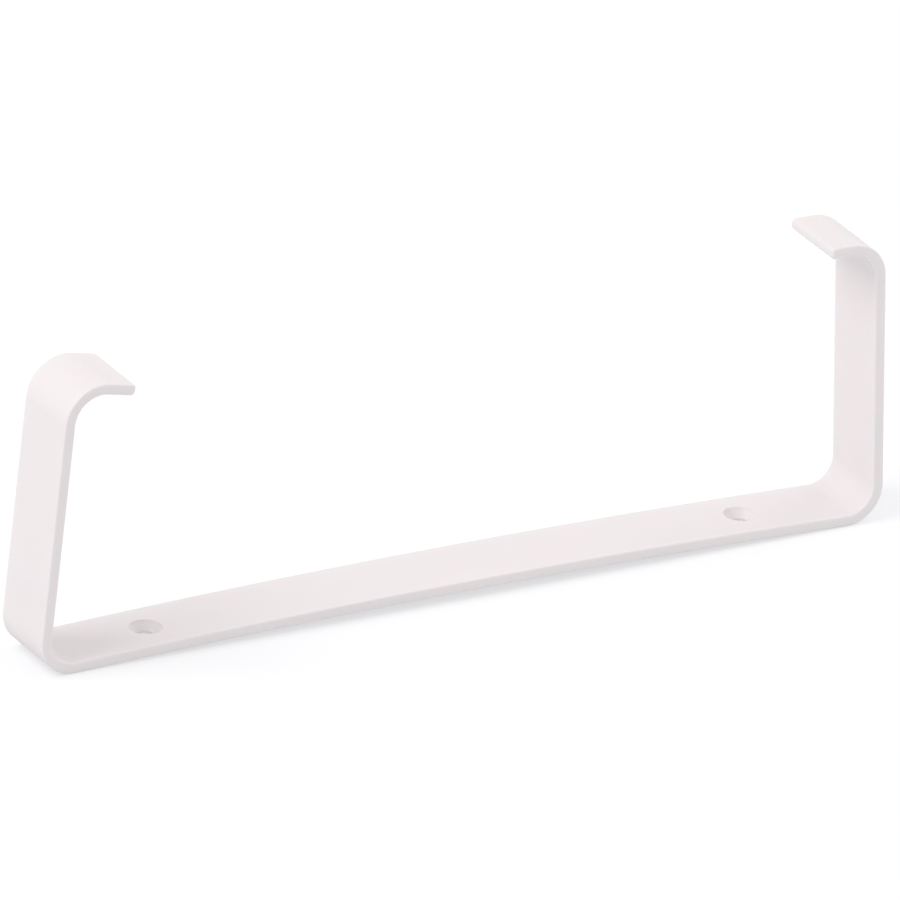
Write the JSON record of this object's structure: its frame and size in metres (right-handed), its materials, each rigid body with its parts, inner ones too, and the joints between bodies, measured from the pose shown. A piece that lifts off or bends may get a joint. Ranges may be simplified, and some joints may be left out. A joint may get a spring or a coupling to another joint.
{
  "type": "flat duct wall clip",
  "caption": "Springy C-shaped plastic strap clip with inward lips and countersunk screw holes, for holding a flat rectangular duct against a wall.",
  "frame": {"origin": "middle of the base, midway between the legs and the strap's long edges, in the plane that the ends of the base stand on (the wall's face)", "axes": "+X along the base from the drooping lip's leg to the level lip's leg, +Y across the strap, +Z away from the wall"},
  "size_m": [0.212, 0.018, 0.0685],
  "materials": {
    "white_plastic": "semi-matt moulded white, fine uniform mould texture"
  },
  "bodies": {
    "root": {"clip_strap": "white_plastic"}
  },
  "joints": []
}
